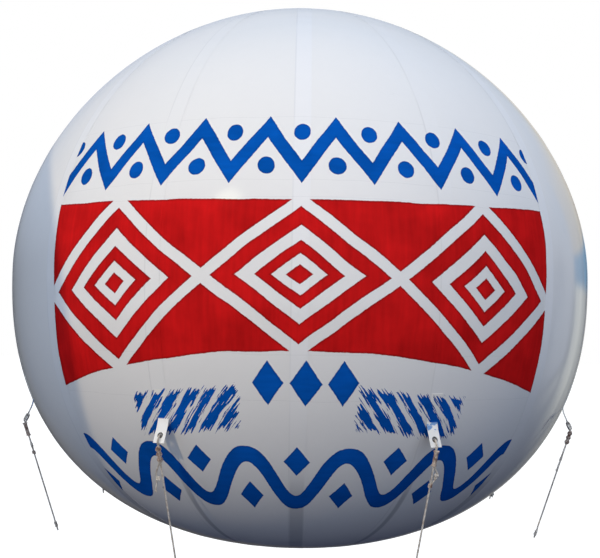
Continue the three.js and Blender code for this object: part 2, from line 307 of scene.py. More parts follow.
class Shape(Nodes):
    """A geometry tree with named inputs, two of which copy its shape round the polar axis."""

    KINDS = {float: "NodeSocketFloat", int: "NodeSocketInt"}

    def __init__(self, name, **inputs):
        super().__init__(bpy.data.node_groups.new(name, "GeometryNodeTree"))
        self.names = {}
        face = self.tree.interface
        face.new_socket("Geometry", in_out="INPUT", socket_type="NodeSocketGeometry")
        face.new_socket("Geometry", in_out="OUTPUT", socket_type="NodeSocketGeometry")
        for key, default in dict(inputs, copies=1, first_turn=0.0).items():
            title = key.replace("_", " ").capitalize()
            socket = face.new_socket(title, in_out="INPUT", socket_type=self.KINDS[type(default)])
            socket.default_value = default
            self.names[key] = socket
        self.names["material"] = face.new_socket(
            "Material", in_out="INPUT", socket_type="NodeSocketMaterial")
        self.given = self.tree.nodes.new("NodeGroupInput")

    def value(self, key):
        """The number of a named input."""
        identifier = self.names[key].identifier
        socket = next(s for s in self.given.outputs if s.identifier == identifier)
        return Number(self.tree, socket)

    def around(self, geometry):
        """Copies of a geometry at even steps round the polar axis."""
        count = self.value("copies")
        spots = self.add("GeometryNodeMeshLine", {"Count": count, "Offset": (0.0, 0.0, 0.0)})
        spin = self.number("GeometryNodeInputIndex") * FULL_TURN / count + self.value("first_turn")
        return self.add("GeometryNodeInstanceOnPoints", {
            "Points": spots.outputs[0], "Instance": geometry,
            "Rotation": self.vector(0.0, 0.0, spin)}).outputs[0]

    def close(self, geometry):
        """Ends the tree: instances made real, smooth faces with sharp rims, then the material."""
        real = self.add("GeometryNodeRealizeInstances", {0: geometry}).outputs[0]
        smooth = self.add("GeometryNodeSetShadeSmooth", {0: real, "Shade Smooth": True})
        sharp = self.number("GeometryNodeInputMeshEdgeAngle").over(SHARP)
        rims = self.add(
            "GeometryNodeSetShadeSmooth",
            {0: smooth.outputs[0], "Selection": sharp, "Shade Smooth": False}, domain="EDGE")
        done = self.add(
            "GeometryNodeSetMaterial", {0: rims.outputs[0], "Material": self.value("material")})
        self.add("NodeGroupOutput", {0: done.outputs[0]})
        return self


def shown(name, data):
    """A new object for a mesh or curve, in the scene."""
    piece = bpy.data.objects.new(name, data)
    bpy.context.scene.collection.objects.link(piece)
    return piece


def settled(source):
    """The plain mesh that an object's modifiers make. The object itself is removed."""
    made = source.evaluated_get(bpy.context.evaluated_depsgraph_get())
    mesh = bpy.data.meshes.new_from_object(made)
    source.modifiers.clear()
    bpy.data.objects.remove(source)
    return mesh


def drawn(name, mesh):
    """Mesh data from a finished bmesh, which is freed."""
    data = bpy.data.meshes.new(name)
    mesh.to_mesh(data)
    mesh.free()
    return data


def grow(name, data, shape, material, **values):
    """Runs a geometry tree on data and gives back the plain mesh object that it makes."""
    source = shown(name, data)
    modifier = source.modifiers.new(shape.tree.name, "NODES")
    modifier.node_group = shape.tree
    for key, value in dict(values, material=material).items():
        modifier[shape.names[key].identifier] = value
    source.update_tag()
    mesh = settled(source)
    if not mesh.polygons:
        raise RuntimeError(f"{name} came out empty")
    mesh.name = name
    return shown(name, mesh)


def dress(piece, slot, *nodes):
    """Fixes a finished piece on the frame, in place of the CAD nodes that it stands for."""
    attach(piece, BODY)
    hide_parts(*nodes)


# Envelope outline

def half_sizes(sizes, upper):
    """Height and fullness of the top half or the base half."""
    if upper:
        return sizes.top_height, sizes.top_fullness
    return sizes.base_height, sizes.base_fullness


def outline(sizes, rise, outward=0.0):
    """A point (radius, height) of the outline at an elevation angle, moved outward along its normal."""
    height, fullness = half_sizes(sizes, rise >= 0)
    across = math.cos(rise) / sizes.widest_radius
    up = abs(math.sin(rise)) / height
    reach = (across ** fullness + up ** fullness) ** (-1 / fullness)
    normal = Vector((
        (across * reach) ** (fullness - 1) / sizes.widest_radius,
        math.copysign((up * reach) ** (fullness - 1) / height, rise),
    )).normalized()
    return Vector((math.cos(rise), math.sin(rise))) * reach + normal * outward


def rise_at_radius(sizes, radius, upper):
    height, fullness = half_sizes(sizes, upper)
    level = height * (1 - (radius / sizes.widest_radius) ** fullness) ** (1 / fullness)
    return math.atan2(level if upper else -level, radius)


def rise_at_height(sizes, level):
    height, fullness = half_sizes(sizes, level >= 0)
    radius = sizes.widest_radius * (1 - (abs(level) / height) ** fullness) ** (1 / fullness)
    return math.atan2(level, radius)


# Radius where the gores' upper tips end
NEAR_POLE = 0.02
# How far the tapes and the patches stand off the gores
TAPE_LIFT = 0.0003
PATCH_LIFT = 0.0004


def film_shape(sizes):
    """The tree for any piece of film on the envelope: gores, tapes and polar patches."""
    shape = Shape(
        "film piece", sector=0.0, strip_width=0.0, lowest=0.0, highest=1.0,
        rows=10, columns=4, lift=0.0, thickness=0.001, pucker=0.001)
    grid = shape.add("GeometryNodeMeshGrid", {
        "Size X": 1.0, "Size Y": 1.0,
        "Vertices X": shape.value("columns") + 1, "Vertices Y": shape.value("rows") + 1})
    across, along, _ = shape.split(shape.add("GeometryNodeInputPosition").outputs[0])
    rise = shape.value("lowest") + (along + 0.5) * (shape.value("highest") - shape.value("lowest"))
    upper = rise.over(0.0)
    height = upper.choose(sizes.top_height, sizes.base_height)
    fullness = upper.choose(sizes.top_fullness, sizes.base_fullness)
    wide = rise.cos().most(0.0) / sizes.widest_radius
    tall = abs(rise.sin()) / height
    reach = (wide ** fullness + tall ** fullness) ** (-fullness ** -1.0)
    out = (wide * reach) ** (fullness - 1) / sizes.widest_radius
    up = (tall * reach) ** (fullness - 1) / height * (upper * 2 - 1)
    normal = (out * out + up * up).root()
    lift = shape.value("lift")
    radius = (reach * rise.cos() + lift * out / normal).most(0.0)
    level = reach * rise.sin() + lift * up / normal
    turn = across * (shape.value("sector") + shape.value("strip_width") / radius.most(NEAR_POLE))
    placed = shape.add("GeometryNodeSetPosition", {
        0: grid.outputs[0],
        "Position": shape.vector(radius * turn.sin(), -(radius * turn.cos()), level)})
    sheet = shape.add("GeometryNodeMergeByDistance", {0: placed.outputs[0], "Distance": MERGE})
    walls = shape.add("GeometryNodeExtrudeMesh", {
        0: sheet.outputs[0], "Offset Scale": shape.value("thickness"), "Individual": False})
    back = shape.add("GeometryNodeFlipFaces", {0: sheet.outputs[0]})
    both = shape.add("GeometryNodeJoinGeometry", {0: walls.outputs[0]})
    shape.tree.links.new(back.outputs[0], both.inputs[0])
    closed = shape.add("GeometryNodeMergeByDistance", {0: both.outputs[0], "Distance": MERGE})
    real = shape.add("GeometryNodeRealizeInstances", {0: shape.around(closed.outputs[0])})
    return shape.close(unevenness(shape, real.outputs[0]))


# How far from a seam the valley reaches, and where and how widely a tab pulls at the film
SEAM_REACH = 0.06
TAB_PULL_HEIGHT = -0.63
TAB_PULL_AREA = 0.014


def unevenness(shape, geometry):
    """Moves film in and out: a shallow valley and puckers on each seam, a pull at each tab, and waves."""
    position = shape.add("GeometryNodeInputPosition").outputs[0]
    x, y, z = shape.split(position)
    radius = (x * x + y * y).root()
    turn = x.arctan2(-y)
    seam = abs(turn.wrapped(SEAM_STEP)) * radius
    near_seam = (-(seam / SEAM_REACH) ** 2.0).exp()
    tab_side = abs((turn - TETHER_STEP / 2).wrapped(TETHER_STEP)) * radius
    tab_drop = z - TAB_PULL_HEIGHT
    near_tab = (-(tab_side * tab_side + tab_drop * tab_drop) / TAB_PULL_AREA).exp()
    pucker = shape.value("pucker")
    amount = near_seam * (shape.noise(position, 14.0, 1.0) * 2.2 - 0.7) * pucker
    amount = amount + shape.noise(position, 1.6, 1.0) * pucker * 2.0
    amount = amount + near_tab * (shape.noise(position, 20.0, 0.0) + 0.6) * pucker * 1.6
    away = shape.vector_math("NORMALIZE", {0: position})
    offset = shape.vector_math("SCALE", {0: away, "Scale": amount})
    return shape.add("GeometryNodeSetPosition", {0: geometry, "Offset": offset}).outputs[0]


# Paint

PENCIL_HEIGHTS = (0.22, -0.385, -0.565, 0.29, 0.56)
# Heights between which the bands' paint ends on a tab, and how soft a painted edge is
TAB_BARE = (-0.655, -0.650)
PAINT_EDGE = 0.0012
PENCIL_GREY = (0.22, 0.22, 0.25, 1)
SCRATCH_GREY = (0.45, 0.46, 0.5, 1)
# Colour of the painted shade along the tapes' edges and up their lower ends
PAINTED_SEAM_SHADE = (0.08, 0.09, 0.12, 1)
STREAK_BLUE = (0.09, 0.28, 0.62, 1)


class Pattern(Nodes):
    """The design: places on the film, and how far inside each paint they lie, in metres."""

    def __init__(self, tree, paint, radius):
        super().__init__(tree)
        self.paint = paint
        self.place = self.add("ShaderNodeTexCoord").outputs["Object"]
        x, y, z = self.split(self.place)
        around = x.arctan2(-y)
        beside = abs(around).over(paint.side_turn / 2)
        self.turn = around - around.sign() * beside * paint.side_turn
        self.radius = (x * x + y * y).root()
        self.side = self.turn * radius + self.cloud(4.0) * 0.022
        self.level = z + self.cloud(5.0) * 0.016
        self.half_width = paint.half_span * radius
        self.within = -abs(self.side) + self.half_width

    def cloud(self, scale, detail=1.0):
        return self.noise(self.place, scale, detail)

    def brushing(self, beside, upward, scale=1.0, detail=3.0):
        """A noise over stretched places, which are given as distances beside and upward."""
        return self.noise(self.vector(beside, upward, self.turn), scale, detail)

    def inks(self):
        """How far inside the red, the blue and the dry-brushed blue a place lies, with ragged edges."""
        ragged = self.cloud(70.0, 2.0) * 0.004
        upper = self.zigzag(reach=0.098, pitch=self.half_width / 4, width=0.056, dot=0.036)
        lower = self.wave(reach=0.108, pitch=self.half_width * 2 / 5, width=0.066, mark=0.062)
        blue = upper.most(lower).most(self.small_lozenges())
        dashes, bristles = self.dashes()
        return {
            "red": self.middle_band() + ragged,
            "blue": blue + ragged,
            "dry": dashes + ragged * 1.5 + (bristles - 0.02) * 0.09,
        }

    def middle_band(self):
        """Lozenges one inside the other, taller towards both ends of the painting."""
        top_rise, base_drop, lozenges = 0.03, 0.175, 3
        bare_lines = ((1.0, 0.09), (0.55, 0.10), (0.20, 0.07))
        bow = (self.side / self.half_width) ** 2.0
        high = bow * top_rise + self.paint.band_top
        low = bow * -base_drop + self.paint.band_base
        half = (high - low) / 2
        step = self.half_width * 2 / lozenges
        above = abs(self.level - (high + low) / 2)
        share = abs(self.side.wrapped(step)) / (step / 2) + above / half
        painted = half - above
        for middle, half_line in bare_lines:
            painted = painted.least((abs(share - middle) - half_line) * (step * 0.3))
        return painted.least(self.within)

    def lozenge(self, beside, above, half_width, half_height):
        return (-(abs(beside) / half_width + abs(above) / half_height) + 1) * (half_width * 0.7)

    def stroke(self, mid, line, steep, width, marks):
        """A line of even width with its marks, as far as the painting goes."""
        drawn_line = -(abs(self.level - mid - line) / steep) + width / 2
        return drawn_line.most(marks).least(self.within)

    def in_bends(self, mid, reach, pitch):
        """How far beside and above the mark in the nearest bend of a line a place lies."""
        bend = -(self.side * (FULL_TURN / pitch)).cos()
        return self.side.wrapped(pitch / 2), self.level - mid + bend.sign() * (reach * 0.72)

    def zigzag(self, reach, pitch, width, dot):
        """The zigzag with a dot in each of its bends."""
        mid = self.paint.zigzag_height
        line = (abs(self.side.wrapped(pitch)) * (4 / pitch) - 1) * reach
        beside, above = self.in_bends(mid, reach, pitch)
        dots = -(beside * beside + above * above).root() + dot
        return self.stroke(mid, line, math.hypot(1, 4 * reach / pitch), width, dots)

    def wave(self, reach, pitch, width, mark):
        """The wave with a lozenge in each of its bends."""
        mid = self.paint.wave_height
        share = self.side * (FULL_TURN / pitch)
        slope = share.sin() * (reach * FULL_TURN / pitch)
        marks = self.lozenge(*self.in_bends(mid, reach, pitch), mark, mark)
        return self.stroke(mid, -share.cos() * reach, (slope * slope + 1).root(), width, marks)

    def small_lozenges(self):
        """Three small lozenges under the middle band."""
        aside, mid, pitch, reach = 0.03, -0.495, 0.15, 0.22
        beside = self.side - aside
        small = self.lozenge(beside.wrapped(pitch), self.level - mid, 0.064, 0.09)
        return small.least(-abs(beside) + reach)

    def dashes(self):
        """Slanted dashes on each side of the small lozenges, and the bristle marks that break them."""
        mid, step, half_height = -0.575, 0.085, 0.082
        middle, half_row = 0.49, 0.24
        slant = self.level - mid + abs(self.side) * 0.09
        lean = abs(self.side) + slant * 0.9
        dashes = -abs(lean.wrapped(step)) + step * 0.33
        dashes = dashes.least(-abs(slant) + half_height)
        dashes = dashes.least(-abs(abs(self.side) - middle) + half_row)
        return dashes, self.brushing(lean * 9, slant * 1.1, 12.0)

    def pencilled(self, film):
        """The thin guide lines that are ruled across each painting."""
        grain = self.cloud(160.0)
        for height in PENCIL_HEIGHTS:
            line = (-abs(self.level - height) + 0.0011).ramp(-0.0006, 0.0006)
            line = line * self.within.over(0.0) * (grain + 0.62) * 0.16
            film = self.mix(line, film, PENCIL_GREY)
        return film

    def scratched(self, film):
        """A few long thin scratches, which lean."""
        lines = abs(self.brushing(self.side * 26 + self.level * 15, self.level * 3.2, 1.3, 0.0))
        lines = (-lines + 0.0022).ramp(0.0, 0.002) * self.cloud(1.1, 2.0).over(0.13) * 0.2
        return self.mix(lines, film, SCRATCH_GREY)

    def tape_painted_shade(self, film):
        """Painted shade: a dark line along one edge of a tape for that edge's shadow, and darkening up its
        lower end for the shade in the seam's valley. The tape's lighter tone is painted light up high, and
        fades low down and beside tabs.
        """
        across = self.turn.wrapped(SEAM_STEP) * self.radius
        plain_seam = (self.turn * TETHERS).cos() * 0.5 + 0.5
        # Painted light: the tape's lighter, bluer tone shows up high, as if lit through the tape, and
        # fades to the film's white low down and beside tabs
        shown_share = (plain_seam * 0.8 + 0.2) * self.level.ramp(-0.9, -0.3)
        film = self.mix(shown_share, self.paint.white, film)
        # Painted shadow: a dark line along one edge of the tape, where that edge would throw its shadow
        edge = (-across).ramp(0.0265, 0.0335) * (self.cloud(3.0) + 0.35).ramp(0.0, 0.5) * 0.12
        half_width = plain_seam * 0.018 + 0.012
        # Painted shade: darker up the tape's lower end, for the shade in the seam's valley, and more so at
        # the tab seams
        foot = (-self.level).ramp(0.82, 1.02) * (plain_seam * -0.10 + 0.40)
        foot = foot * (half_width - abs(across)).ramp(-0.006, 0.006)
        return self.mix(edge.most(foot), film, PAINTED_SEAM_SHADE)

    def tab_streaked(self, film, brushed):
        """A streak of blue paint across the tab on each painting's right."""
        streak = (brushed * 0.5 + self.cloud(38.0, 3.0) + 0.02).ramp(0.0, 0.05)
        streak = streak * self.level.ramp(-0.692, -0.684) * (-self.level).ramp(0.638, 0.645)
        return self.mix(streak * self.side.over(0.0) * 0.85, film, STREAK_BLUE)


def new_finish(name):
    """A new material with its shader."""
    material = bpy.data.materials.new(name)
    material.use_nodes = True
    return material, material.node_tree.nodes["Principled BSDF"]


def film_material(name, kind):
    """Glossy film, soiled and scratched, with pencil guide lines and the hand-painted bands.

    The kind is white, tape or tab, as in the paint settings. Tabs stay bare below their roots.
    """
    paint = bpy.context.scene.balloon_paint
    material, shader = new_finish(name)
    skin = Pattern(material.node_tree, paint, bpy.context.scene.balloon_envelope.widest_radius)
    inks = skin.inks()
    free = skin.level.ramp(*TAB_BARE) if kind == "tab" else 1.0
    upright = skin.brushing(skin.side * 55, skin.level * 5)
    brushed = skin.brushing(skin.side * 6, skin.level * 60)
    soiled = skin.cloud(2.2, 4.0) + skin.cloud(30.0, 2.0) * 0.35
    film = skin.shaded(getattr(paint, kind), soiled * 0.05 + 1.0)
    film = skin.scratched(skin.pencilled(film))
    # Tapes get painted shade along one edge and low down, and painted light up high
    if kind == "tape":
        film = skin.tape_painted_shade(film)
    if kind == "tab":
        film = skin.tab_streaked(film, brushed)

    patches = skin.cloud(7.0, 3.0)
    painted = None
    looks = {
        # colour, brush marks, how far the marks vary it, how light its rims are
        "red": (paint.red, upright, 0.9, 0.55),
        "blue": (paint.blue, brushed, 0.7, 0.75),
        "dry": (paint.blue, brushed, 0.7, 0.75),
    }
    for key, (shade, marks, spread, rim) in looks.items():
        ink = inks[key]
        texture = (marks * 0.45 + patches * 0.9) * spread + 1.0
        laid = skin.shaded(shade, texture * ink.ramp(0.001, 0.010).choose(1.0, rim))
        opacity = ink.ramp(-PAINT_EDGE, PAINT_EDGE) * free
        if key == "dry":
            opacity = opacity * (brushed + 1.25).least(1.0)
        film = skin.mix(opacity, film, laid)
        depth = ink.ramp(PAINT_EDGE, 3 * PAINT_EDGE) * free
        painted = painted.most(depth) if painted else depth

    relief = painted * 0.15 + upright * painted * 0.25
    relief = relief + skin.cloud(120.0, 2.0) * 0.10 + skin.cloud(9.0, 2.0) * 1.2
    bump = skin.add("ShaderNodeBump", {"Strength": 0.5, "Distance": 0.0006, "Height": relief})
    skin.fill(shader, {
        "Base Color": film, "Roughness": soiled * 0.10 + 0.55, "Specular IOR Level": 0.0,
        "Coat Weight": painted * -0.99 + 1.0, "Coat Roughness": 0.09, "Normal": bump.outputs[0]})
    return material


def plain_material(name, light, dark, roughness, metallic, scale, relief):
    """A finish that varies between two colours, for metal and fibre."""
    material, shader = new_finish(name)
    nodes = Nodes(material.node_tree)
    place = nodes.add("ShaderNodeTexCoord").outputs["Object"]
    cloud = nodes.noise(place, scale, 4.0)
    grain = nodes.noise(place, scale * 9, 3.0)
    clean = (cloud + grain * 0.6).ramp(-0.20, 0.16)
    bump = nodes.add("ShaderNodeBump", {
        "Strength": relief, "Distance": 0.0008, "Height": grain + cloud * 0.5})
    nodes.fill(shader, {
        "Base Color": nodes.mix(clean, (*dark, 1), (*light, 1)), "Roughness": cloud * 0.3 + roughness,
        "Metallic": metallic, "Normal": bump.outputs[0]})
    return material


FILM_KINDS = {"white film": "white", "seam tape": "tape", "tab film": "tab"}
PLAIN_FINISHES = {
    # light and dark colour, roughness, metallic, scale of the clouds, relief
    "rope fibre": ((0.70, 0.66, 0.60), (0.40, 0.34, 0.28), 0.85, 0.0, 60.0, 0.6),
    "lashing cord": ((0.66, 0.56, 0.48), (0.16, 0.07, 0.045), 0.85, 0.0, 75.0, 0.6),
    "eyelet metal": ((0.27, 0.24, 0.20), (0.12, 0.10, 0.08), 0.38, 1.0, 90.0, 0.15),
}


def finish_named(name):
    """One of the finishes above, made once."""
    if name in bpy.data.materials:
        return bpy.data.materials[name]
    if name in FILM_KINDS:
        return film_material(name, FILM_KINDS[name])
    return plain_material(name, *PLAIN_FINISHES[name])


# Envelope operators

def film_piece(name, data_name, finish, slot, nodes, **values):
    """Grows film on the envelope and dresses it."""
    sizes = bpy.context.scene.balloon_envelope
    piece = grow(
        name, bpy.data.meshes.new(data_name), film_shape(sizes), finish_named(finish),
        pucker=sizes.pucker, **values)
    dress(piece, slot, *nodes)


class BALLOON_OT_gores(bpy.types.Operator):
    """Makes the gores, the pieces of film that run from pole to pole"""

    bl_idname = "balloon.gores"
    bl_label = "Gores"

    def execute(self, context):
        sizes = context.scene.balloon_envelope
        film_piece(
            "gores", "gores", "white film", "white_pvc", node_names("gore", GORES),
            copies=GORES, first_turn=SEAM_STEP / 2, rows=160, columns=12,
            sector=SEAM_STEP - sizes.seam_gap / sizes.widest_radius,
            lowest=rise_at_radius(sizes, sizes.neck_hole, False),
            highest=rise_at_radius(sizes, NEAR_POLE, True),
            lift=-sizes.film, thickness=sizes.film)
        return {"FINISHED"}


class BALLOON_OT_seam_tapes(bpy.types.Operator):
    """Makes the tapes over the seams, from patch to patch"""

    bl_idname = "balloon.seam_tapes"
    bl_label = "Seam tapes"

    def execute(self, context):
        sizes = context.scene.balloon_envelope
        patch_radius = 0.3
        edge = sizes.patch_edge - sizes.seam_gap / patch_radius
        film_piece(
            "seam_tapes", "seam_tapes", "seam tape", "seam_tape_pvc", node_names("seam_tape", GORES),
            copies=GORES, rows=150, columns=4, strip_width=sizes.tape_width,
            lowest=-edge, highest=edge, lift=TAPE_LIFT, thickness=sizes.tape_thickness)
        return {"FINISHED"}


class BALLOON_OT_patches(bpy.types.Operator):
    """Makes the round patches over the gores' ends at the top and at the base"""

    bl_idname = "balloon.patches"
    bl_label = "Polar patches"

    def execute(self, context):
        sizes = context.scene.balloon_envelope
        ranges = {
            "top_patch": (sizes.patch_edge, math.pi / 2),
            "base_patch": (-sizes.patch_edge, rise_at_radius(sizes, sizes.neck_hole, False)),
        }
        for name, ends in ranges.items():
            film_piece(
                f"{name}.film", name, "white film", "white_pvc", [name],
                rows=14, columns=144, sector=FULL_TURN,
                lowest=min(ends), highest=max(ends), lift=PATCH_LIFT, thickness=sizes.film)
        return {"FINISHED"}


def bridge(mesh, first, second):
    """Joins two closed rings of vertices by a band of faces."""
    for corners in zip(first, [*first[1:], first[0]], [*second[1:], second[0]], second):
        mesh.faces.new(corners)


def turns_of(count):
    """Even steps of one full turn."""
    return [FULL_TURN * step / count for step in range(count)]


def spun(name, sections):
    """A skin through rings of points, with its ends closed by a middle point each."""
    mesh = bmesh.new()
    rings = [[mesh.verts.new(point) for point in ring] for ring in sections]
    for lower, upper in zip(rings, rings[1:]):
        bridge(mesh, lower, upper)
    for ring in (rings[0], rings[-1]):
        middle = mesh.verts.new(sum((corner.co for corner in ring), Vector()) / len(ring))
        for edge in zip(ring, [*ring[1:], ring[0]]):
            mesh.faces.new((*edge, middle))
    bmesh.ops.recalc_face_normals(mesh, faces=mesh.faces)
    data = drawn(name, mesh)
    data.shade_smooth()
    return data


class BALLOON_OT_neck(bpy.types.Operator):
    """Makes the gathered filling neck and the cord that ties it"""

    bl_idname = "balloon.neck"
    bl_label = "Filling neck"

    NARROW = 0.019
    FLARE = 0.032
    FOLDS = 9
    SIDES = 144
    CORD = 0.0036
    WINDINGS = 4

    def execute(self, context):
        waist = box_middle("neck_tie").z
        neck = shown("filling_neck.film", spun("filling_neck", self.folded_sections(waist)))
        neck.data.materials.append(finish_named("white film"))
        dress(neck, "white_pvc", "filling_neck")
        paths = [self.winding(waist), *self.cord_ends(waist)]
        tie = grow(
            "neck_tie.cord", curve_data("neck_tie.cord", paths), rope_shape(),
            finish_named("rope fibre"), diameter=self.CORD, lay=0.012)
        dress(tie, "rope_fibre", "neck_tie")
        return {"FINISHED"}

    def folded_sections(self, waist):
        """Rings of points down the neck, gathered in folds at the waist and spread below it."""
        low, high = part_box("filling_neck")
        wide = high.x
        levels = [
            # height, radius, depth of the folds
            (high.z, wide, 0.0),
            (high.z - 0.012, wide - 0.0005, 0.0),
            (waist + 0.020, wide * 0.72, 0.05),
            (waist + 0.013, wide * 0.50, 0.12),
            (waist + 0.006, self.NARROW, 0.16),
            (waist - 0.006, self.NARROW, 0.16),
            (waist - 0.013, self.NARROW + 0.005, 0.22),
            (low.z + 0.012, self.FLARE - 0.004, 0.24),
            (low.z, self.FLARE, 0.26),
        ]
        steps = 8
        rings = [
            [start + (stop - start) * step / steps for start, stop in zip(level, after)]
            for level, after in zip(levels, levels[1:]) for step in range(steps)]
        return [self.folded_ring(*ring) for ring in (*rings, levels[-1])]

    def folded_ring(self, height, radius, depth):
        ring = []
        for turn in turns_of(self.SIDES):
            fold = math.cos(self.FOLDS * turn + 0.7 * math.sin(2 * turn))
            fold = fold + 0.4 * math.cos(2 * self.FOLDS * turn)
            reach = radius * (1 - depth * (0.5 - 0.5 * fold / 1.4))
            ring.append((reach * math.sin(turn), -reach * math.cos(turn), height))
        return ring

    def winding(self, waist):
        """The turns of the cord about the waist."""
        steps = self.WINDINGS * 24
        reach = self.NARROW + self.CORD * 0.55
        points = []
        for k in range(steps + 1):
            turn = FULL_TURN * k / 24
            climb = (k / steps - 0.5) * self.CORD * self.WINDINGS
            points.append((reach * math.cos(turn), reach * math.sin(turn), waist + climb))
        return points

    def cord_ends(self, waist):
        """The two loose ends of the cord, as steps outward, sideways and down from the waist."""
        ends = (
            ((0.001, 0.004, 0), (0.006, 0.010, 0.002), (0.007, 0.014, 0.012), (0.005, 0.015, 0.022)),
            ((0.001, -0.004, 0), (0.006, -0.009, 0.001), (0.007, -0.015, 0.010), (0.006, -0.018, 0.019)),
        )
        return [[(self.NARROW + out, beside, waist - down) for out, beside, down in end] for end in ends]


# Tethers

def curve_data(name, paths):
    """A curve of open poly splines through the given points."""
    data = bpy.data.curves.new(name, "CURVE")
    data.dimensions = "3D"
    for path in paths:
        spline = data.splines.new("POLY")
        spline.points.add(len(path) - 1)
        for point, place in zip(spline.points, path):
            point.co = (*place, 1)
    return data


def rope_shape():
    """The tree for laid rope: strands wound about a line, then copied round the polar axis."""
    shape = Shape("laid rope", diameter=0.008, lay=0.024, strands=3)
    diameter, lay, strands = (shape.value(key) for key in ("diameter", "lay", "strands"))
    line = shape.add(
        "GeometryNodeResampleCurve", {"Curve": shape.given.outputs[0], "Length": lay / 10}, mode="LENGTH")
    many = shape.add(
        "GeometryNodeDuplicateElements", {0: line.outputs[0], "Amount": strands}, domain="SPLINE")
    along = shape.number("GeometryNodeSplineParameter", "Length")
    strand = Number(shape.tree, many.outputs["Duplicate Index"])
    turn = along / lay * FULL_TURN + strand * FULL_TURN / strands
    normal = shape.add("GeometryNodeInputNormal").outputs[0]
    tangent = shape.add("GeometryNodeInputTangent").outputs[0]
    across = shape.vector_math("CROSS_PRODUCT", {0: tangent, 1: normal})
    reach = diameter * 0.268
    first = shape.vector_math("SCALE", {0: normal, "Scale": turn.cos() * reach})
    second = shape.vector_math("SCALE", {0: across, "Scale": turn.sin() * reach})
    wound = shape.add("GeometryNodeSetPosition", {
        0: many.outputs[0], "Offset": shape.vector_math("ADD", {0: first, 1: second})})
    section = shape.add("GeometryNodeCurvePrimitiveCircle", {"Resolution": 7, "Radius": diameter * 0.25})
    tube = shape.add("GeometryNodeCurveToMesh", {
        "Curve": wound.outputs[0], "Profile Curve": section.outputs[0], "Fill Caps": True})
    return shape.close(shape.around(tube.outputs[0]))


def ring_shape():
    """The tree that copies a ready mesh round the polar axis."""
    shape = Shape("ring of copies")
    return shape.close(shape.around(shape.given.outputs[0]))


class TabLine:
    """The line of one tab, its eyelet and its rope in the meridian plane, as (radius, height)."""

    STEPS = 20

    def __init__(self, scene):
        self.sizes, tether = scene.balloon_envelope, scene.balloon_tether
        middle = box_middle("eyelet_01")
        self.eyelet = Vector((math.hypot(middle.x, middle.y), middle.z))
        self.down = Vector((math.sin(tether.tab_lean), -math.cos(tether.tab_lean)))
        self.away = Vector((-self.down.y, self.down.x))
        self.end = self.eyelet + self.down * tether.eyelet_to_end
        self.lift = tether.tab_thickness / 2
        self.root_rise = rise_at_height(self.sizes, tether.root_height)
        root = self.on_skin(0)
        skin_down = (self.on_skin(0.002) - root).normalized()
        straight = self.eyelet - self.down * 0.034
        self.bend = (root, root + skin_down * 0.010, straight)
        bends = [self.curved(k / self.STEPS) for k in range(self.STEPS + 1)]
        self.bend_length = sum((after - point).length for point, after in zip(bends, bends[1:]))
        self.free = self.bend_length + (self.end - straight).length

    def on_skin(self, below):
        """A point on the tape, a distance below the tab's root."""
        rise = self.root_rise - below / self.sizes.widest_radius
        return outline(self.sizes, rise, self.lift)

    def curved(self, share):
        start, pull, straight = self.bend
        rest = 1 - share
        return start * rest ** 2 + pull * (2 * rest * share) + straight * share ** 2

    def at(self, below):
        """A point at a distance below the root, on the weld where that is negative."""
        if below <= 0:
            return self.on_skin(below)
        if below < self.bend_length:
            return self.curved(below / self.bend_length)
        return self.bend[-1] + self.down * (below - self.bend_length)

    def frame_at(self, below):
        """The point and the direction away from the skin at a distance below the root."""
        direction = (self.at(below + 0.001) - self.at(below - 0.001)).normalized()
        return self.at(below), Vector((-direction.y, direction.x))


def in_space(point, sideways=0.0):
    """A meridian point (radius, height) on the front, in the row frame."""
    return Vector((sideways, -point[0], point[1]))


